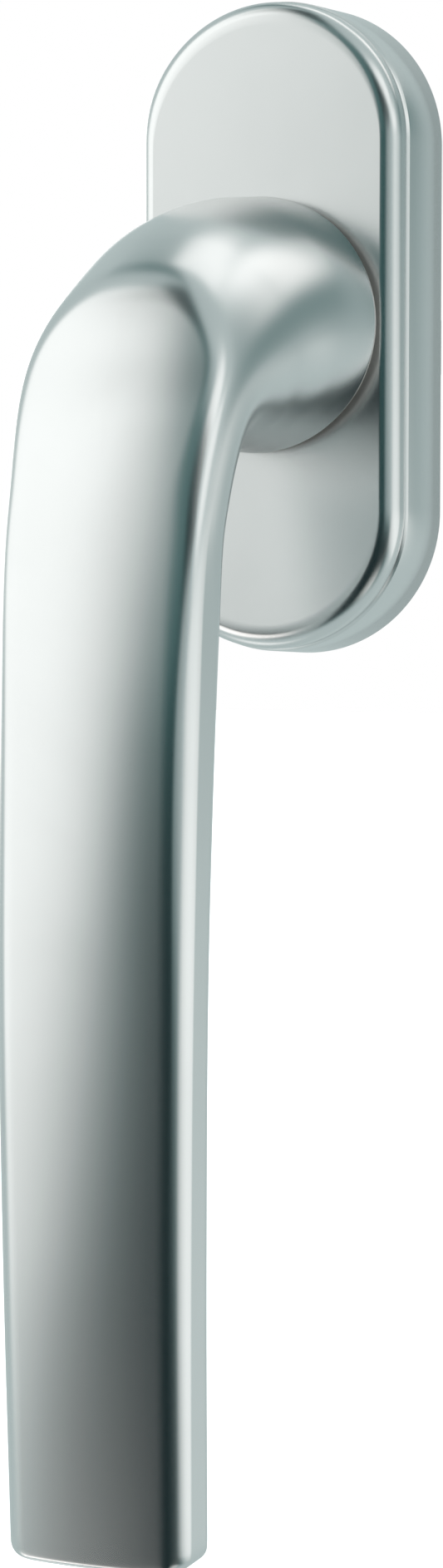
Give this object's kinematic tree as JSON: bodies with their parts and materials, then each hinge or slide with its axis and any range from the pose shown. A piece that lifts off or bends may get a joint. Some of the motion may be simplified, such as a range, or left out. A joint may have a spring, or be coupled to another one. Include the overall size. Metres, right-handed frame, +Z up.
{
  "type": "tilt turn handle",
  "caption": "Window handle with a swept flat grip on a round neck, turning in a slim round-ended rosette, driving a square spindle between two through screws.",
  "frame": {"origin": "on the spindle axis, in the plane where the rosette rests on the sash", "axes": "+Y along the spindle into the sash, so the room is on the -Y side; +Z up; the grip points down the -Z way in the closed position"},
  "size_m": [0.03, 0.0875, 0.1534],
  "materials": {
    "anodised_aluminium": "fine blasted and clear anodised, satin",
    "zinc_casting": "bright passivated zinc die casting",
    "zinc_plated_steel": "zinc plated and passivated",
    "spring_steel": "oiled spring steel",
    "black_acetal": "moulded, fine texture",
    "grey_acetal": "moulded, smooth",
    "natural_nylon": "moulded, translucent white"
  },
  "bodies": {
    "rosette_base": {"base_plate": "zinc_plated_steel", "detent_housing": "zinc_casting", "bearing_bush": "black_acetal", "upper_locating_lug": "zinc_casting", "lower_locating_lug": "zinc_casting", "upper_fixing_screw": "zinc_plated_steel", "lower_fixing_screw": "zinc_plated_steel", "upper_snap_block": "natural_nylon", "lower_snap_block": "natural_nylon", "upper_detent_spring": "spring_steel", "lower_detent_spring": "spring_steel", "housing_rivet_1": "zinc_plated_steel", "housing_rivet_2": "zinc_plated_steel", "housing_rivet_3": "zinc_plated_steel", "housing_rivet_4": "zinc_plated_steel"},
    "handle": {"handle_grip": "anodised_aluminium", "neck_slide_ring": "grey_acetal", "square_spindle": "zinc_plated_steel", "spindle_pin": "spring_steel", "index_rotor": "zinc_plated_steel", "retaining_ring": "spring_steel", "wave_washer": "spring_steel", "thrust_washer": "zinc_plated_steel"},
    "cover": {"rosette_cover": "anodised_aluminium", "cover_guide_ring": "natural_nylon"},
    "upper_ball": {"upper_detent_ball": "spring_steel"},
    "lower_ball": {"lower_detent_ball": "spring_steel"}
  },
  "joints": [
    {"name": "handle_turn", "type": "hinge", "parent": "rosette_base", "child": "handle", "pos_m": [0, 0, 0], "axis": [0, -1, 0], "range_deg": [0, 180]},
    {"name": "cover_lift", "type": "slide", "parent": "rosette_base", "child": "cover", "axis": [0, -1, 0], "range_m": [0, 0.0009]},
    {"name": "upper_ball_slide", "type": "slide", "parent": "rosette_base", "child": "upper_ball", "axis": [0, 0, -1], "range_m": [0, 0.0008], "stiffness_N_per_m": 400, "deforming": ["upper_detent_spring"]},
    {"name": "lower_ball_slide", "type": "slide", "parent": "rosette_base", "child": "lower_ball", "axis": [0, 0, 1], "range_m": [0, 0.0008], "stiffness_N_per_m": 400, "deforming": ["lower_detent_spring"]}
  ]
}
